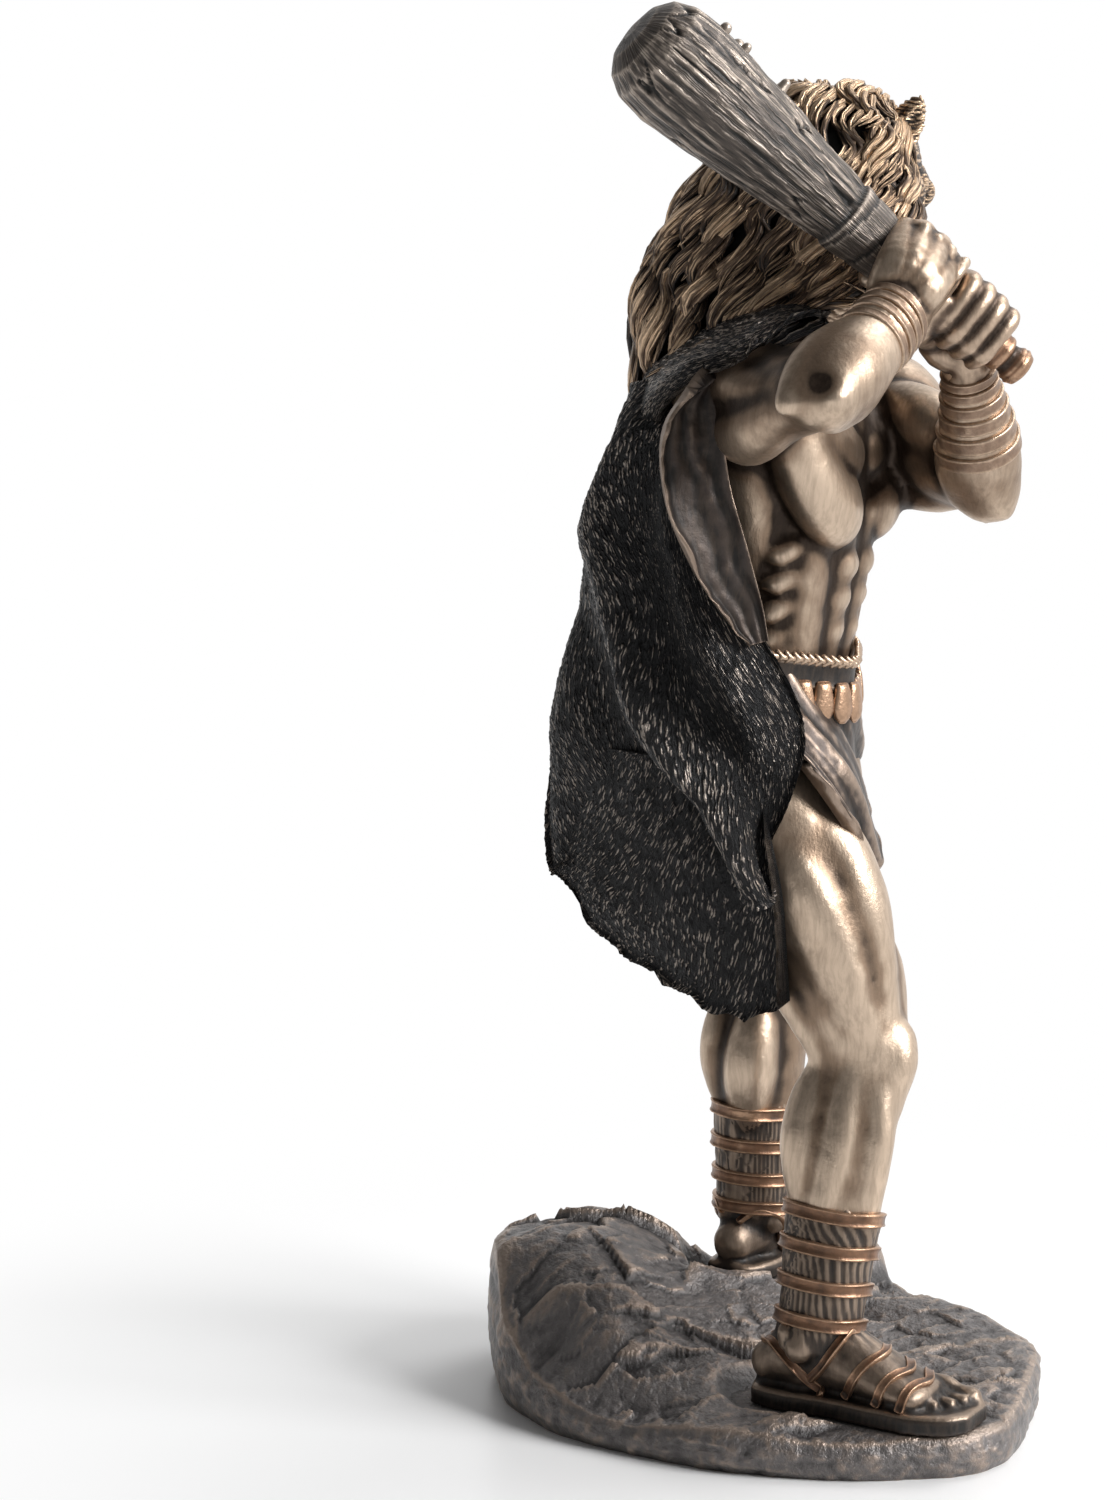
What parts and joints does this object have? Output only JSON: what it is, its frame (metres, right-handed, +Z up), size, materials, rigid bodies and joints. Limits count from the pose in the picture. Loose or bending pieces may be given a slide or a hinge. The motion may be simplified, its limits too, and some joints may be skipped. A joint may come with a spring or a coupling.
{
  "type": "hero statuette",
  "caption": "Statuette of a muscular classical hero in a lion pelt, swinging a knotted club, on a rock base; dark bronze finish.",
  "frame": {"origin": "the middle of the rock's flat underside, on the surface it stands on", "axes": "+Z up, -Y the way the hero's chest faces, +X to the hero's left"},
  "size_m": [0.1359, 0.1305, 0.3],
  "materials": {
    "bronzed_resin": "satin bronze over dark brown",
    "club_resin": "satin dark brown with bronze edges",
    "rock_resin": "satin dark brown with bronze edges"
  },
  "bodies": {
    "root": {"figure": "bronzed_resin", "club": "club_resin", "rock_base": "rock_resin"}
  },
  "joints": []
}
